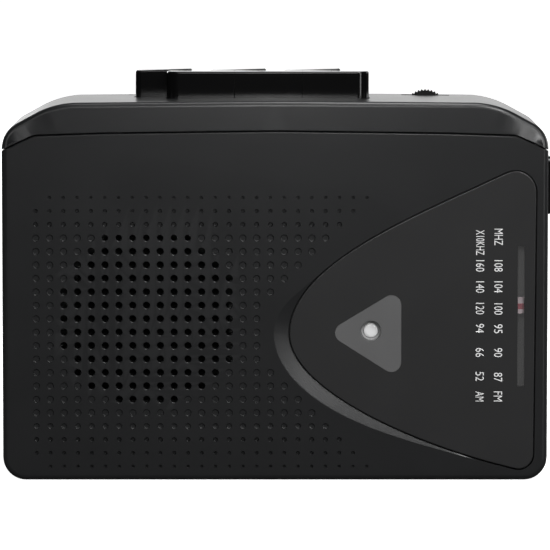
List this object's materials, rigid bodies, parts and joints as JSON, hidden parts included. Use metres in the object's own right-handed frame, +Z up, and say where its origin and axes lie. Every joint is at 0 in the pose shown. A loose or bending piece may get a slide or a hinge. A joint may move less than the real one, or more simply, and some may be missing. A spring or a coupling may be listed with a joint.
{
  "type": "portable cassette radio",
  "caption": "Pocket-size black cassette recorder with AM/FM radio: speaker grille, smoked dial lens with pointer, piano keys, thumbwheels, cassette door and battery cover.",
  "frame": {"origin": "under the middle of the case, on the surface that it stands on", "axes": "+X to the right seen from the front, -Y out of the front panel, +Z up towards the keys"},
  "size_m": [0.1224, 0.037, 0.0898],
  "materials": {
    "black_shell": "satin black moulded plastic",
    "gloss_black": "polished black plastic",
    "dark_plastic": "dark moulded plastic",
    "smoked_lens": "smoked glossy acrylic",
    "clear_plastic": "clear plastic",
    "grey_plastic": "grey plastic",
    "pointer_red": "red plastic",
    "cream_plastic": "cream plastic",
    "board_green": "green solder resist",
    "black_felt": "black felt",
    "cone_paper": "black paper cone",
    "ferrite": "sintered ferrite",
    "copper_wire": "enamelled copper wire",
    "brass": "brass",
    "zinc_steel": "zinc-plated steel",
    "bright_steel": "bright steel",
    "black_rubber": "black rubber"
  },
  "bodies": {
    "case": {"front_cover": "black_shell", "rear_case": "black_shell", "case_screw_1": "zinc_steel", "case_screw_2": "zinc_steel", "case_screw_3": "zinc_steel", "case_screw_4": "zinc_steel", "dial_lens": "smoked_lens", "indicator_plate": "grey_plastic", "indicator_led": "clear_plastic", "dial_backplate": "grey_plastic", "pointer_rail": "zinc_steel", "speaker_felt": "black_felt", "speaker_frame": "zinc_steel", "speaker_cone": "cone_paper", "speaker_magnet": "ferrite", "circuit_board": "board_green", "tuning_capacitor": "cream_plastic", "volume_pot": "zinc_steel", "ferrite_rod": "ferrite", "ferrite_coil": "copper_wire", "headphone_jack": "dark_plastic", "dc_jack": "dark_plastic", "switch_body": "zinc_steel", "microphone": "brass", "chassis": "zinc_steel", "motor": "bright_steel", "drive_belt": "black_rubber", "key_bracket": "zinc_steel", "battery_tray": "dark_plastic", "battery_spring": "bright_steel", "battery_contact": "bright_steel"},
    "tuning_wheel": {"tuning_wheel": "dark_plastic"},
    "pointer": {"pointer": "pointer_red"},
    "volume_wheel": {"volume_wheel": "dark_plastic"},
    "switch_knob": {"switch_knob": "gloss_black"},
    "play_key": {"play_key": "gloss_black"},
    "stop_key": {"stop_key": "gloss_black"},
    "pause_key": {"pause_key": "gloss_black"},
    "record_key": {"record_key": "gloss_black"},
    "rewind_key": {"rewind_key": "gloss_black"},
    "forward_key": {"forward_key": "gloss_black"},
    "head_plate": {"head_plate": "bright_steel", "tape_head": "bright_steel", "erase_head": "dark_plastic"},
    "pinch_roller": {"pinch_roller": "black_rubber"},
    "flywheel": {"flywheel": "bright_steel", "capstan": "bright_steel"},
    "motor_pulley": {"motor_pulley": "brass"},
    "supply_spindle": {"supply_spindle": "dark_plastic"},
    "takeup_spindle": {"takeup_spindle": "dark_plastic"},
    "cassette_door": {"cassette_door": "black_shell", "door_window": "clear_plastic"},
    "battery_cover": {"battery_cover": "black_shell"}
  },
  "joints": [
    {"name": "tuning_turn", "type": "hinge", "parent": "case", "child": "tuning_wheel", "pos_m": [0.047, -0.0008, 0.036], "axis": [0, 1, 0], "range_deg": [-104.8, 75]},
    {"name": "pointer_travel", "type": "slide", "parent": "case", "child": "pointer", "axis": [0, 0, 1], "range_m": [-0.0159, 0.0114]},
    {"name": "volume_turn", "type": "hinge", "parent": "case", "child": "volume_wheel", "pos_m": [0.0339, 0.0136, 0.07975], "axis": [0, 1, 0], "range_deg": [0, 270]},
    {"name": "function_switch", "type": "slide", "parent": "case", "child": "switch_knob", "axis": [0, 0, 1], "range_m": [-0.006, 0]},
    {"name": "play_press", "type": "slide", "parent": "case", "child": "play_key", "axis": [0, 0, -1], "range_m": [0, 0.004], "stiffness_N_per_m": 150, "springref_m": -0.002},
    {"name": "stop_press", "type": "slide", "parent": "case", "child": "stop_key", "axis": [0, 0, -1], "range_m": [0, 0.004], "stiffness_N_per_m": 150, "springref_m": -0.002},
    {"name": "pause_press", "type": "slide", "parent": "case", "child": "pause_key", "axis": [0, 0, -1], "range_m": [0, 0.004], "stiffness_N_per_m": 150, "springref_m": -0.002},
    {"name": "record_press", "type": "slide", "parent": "case", "child": "record_key", "axis": [0, 0, -1], "range_m": [0, 0.004], "stiffness_N_per_m": 150, "springref_m": -0.002},
    {"name": "rewind_press", "type": "slide", "parent": "case", "child": "rewind_key", "axis": [0, 0, -1], "range_m": [0, 0.004], "stiffness_N_per_m": 150, "springref_m": -0.002},
    {"name": "forward_press", "type": "slide", "parent": "case", "child": "forward_key", "axis": [0, 0, -1], "range_m": [0, 0.004], "stiffness_N_per_m": 150, "springref_m": -0.002},
    {"name": "head_travel", "type": "slide", "parent": "case", "child": "head_plate", "axis": [0, 0, -1], "range_m": [0, 0.005]},
    {"name": "pinch_spin", "type": "hinge", "parent": "head_plate", "child": "pinch_roller", "pos_m": [0.034, 0.01, 0.07365], "axis": [0, 1, 0], "continuous": true},
    {"name": "flywheel_spin", "type": "hinge", "parent": "case", "child": "flywheel", "pos_m": [0.034, 0, 0.0635], "axis": [0, 1, 0], "continuous": true},
    {"name": "motor_spin", "type": "hinge", "parent": "case", "child": "motor_pulley", "pos_m": [-0.044, -0.001, 0.066], "axis": [0, 1, 0], "continuous": true},
    {"name": "supply_spin", "type": "hinge", "parent": "case", "child": "supply_spindle", "pos_m": [-0.02125, 0.0033, 0.0348], "axis": [0, 1, 0], "continuous": true},
    {"name": "takeup_spin", "type": "hinge", "parent": "case", "child": "takeup_spindle", "pos_m": [0.02125, 0.0033, 0.0348], "axis": [0, 1, 0], "continuous": true},
    {"name": "door_hinge", "type": "hinge", "parent": "case", "child": "cassette_door", "pos_m": [0, 0.0169, 0.004], "axis": [-1, 0, 0], "range_deg": [0, 40]},
    {"name": "battery_cover_slide", "type": "slide", "parent": "case", "child": "battery_cover", "axis": [1, 0, 0], "range_m": [0, 0.112]}
  ],
  "couplings": [
    {"joint": "pointer_travel", "follows": "tuning_turn", "m_per_rad": 0.00866},
    {"joint": "head_travel", "follows": "play_press", "ratio": 1.25},
    {"joint": "motor_spin", "follows": "flywheel_spin", "ratio": 3.6}
  ]
}
